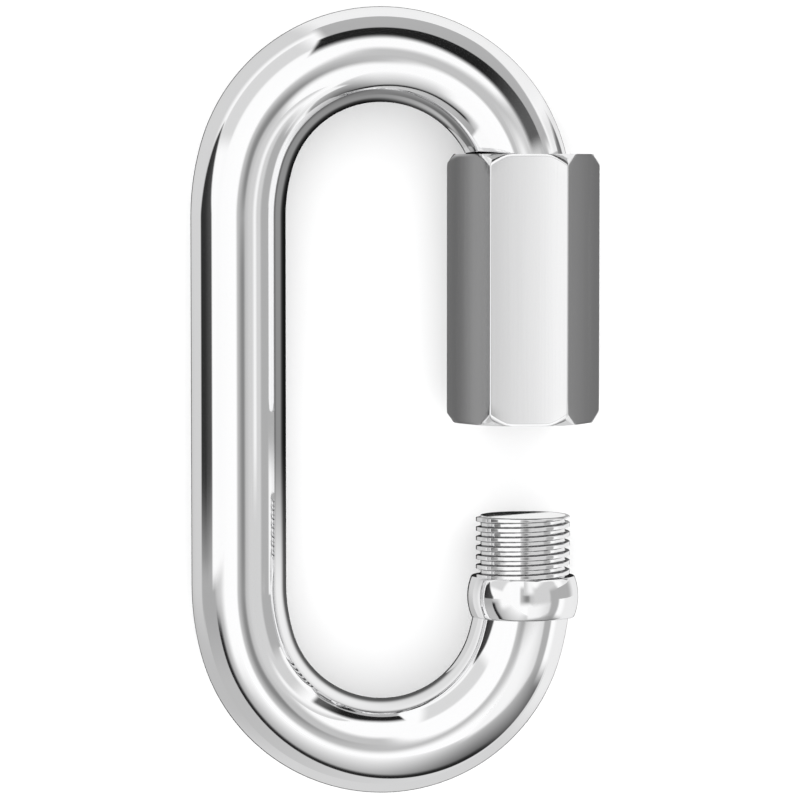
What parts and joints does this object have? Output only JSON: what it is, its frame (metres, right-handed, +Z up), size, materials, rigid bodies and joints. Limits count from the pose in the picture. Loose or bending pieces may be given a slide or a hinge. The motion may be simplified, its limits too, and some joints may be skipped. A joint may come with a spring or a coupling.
{
  "type": "chain quick link",
  "caption": "Oblong link of bent round bar, open along a side, closed by a long hexagonal sleeve nut that screws across the gap onto a threaded stub.",
  "frame": {"origin": "centre of the underside of the lying link's bounding box", "axes": "+Y along the link's length towards the bow next to the run-back nut, +X from the long bar towards the nut, +Z up"},
  "size_m": [0.043, 0.083, 0.014],
  "materials": {
    "polished_bar": "mirror-polished bright steel on bar, collar and both threaded ends",
    "polished_nut": "polished bright steel, flats with a faint lengthwise grain"
  },
  "bodies": {
    "link": {"link_body": "polished_bar"},
    "nut": {"sleeve_nut": "polished_nut"}
  },
  "joints": [
    {"name": "nut_travel", "type": "slide", "parent": "link", "child": "nut", "axis": [0, -1, 0], "range_m": [0, 0.0162]}
  ]
}
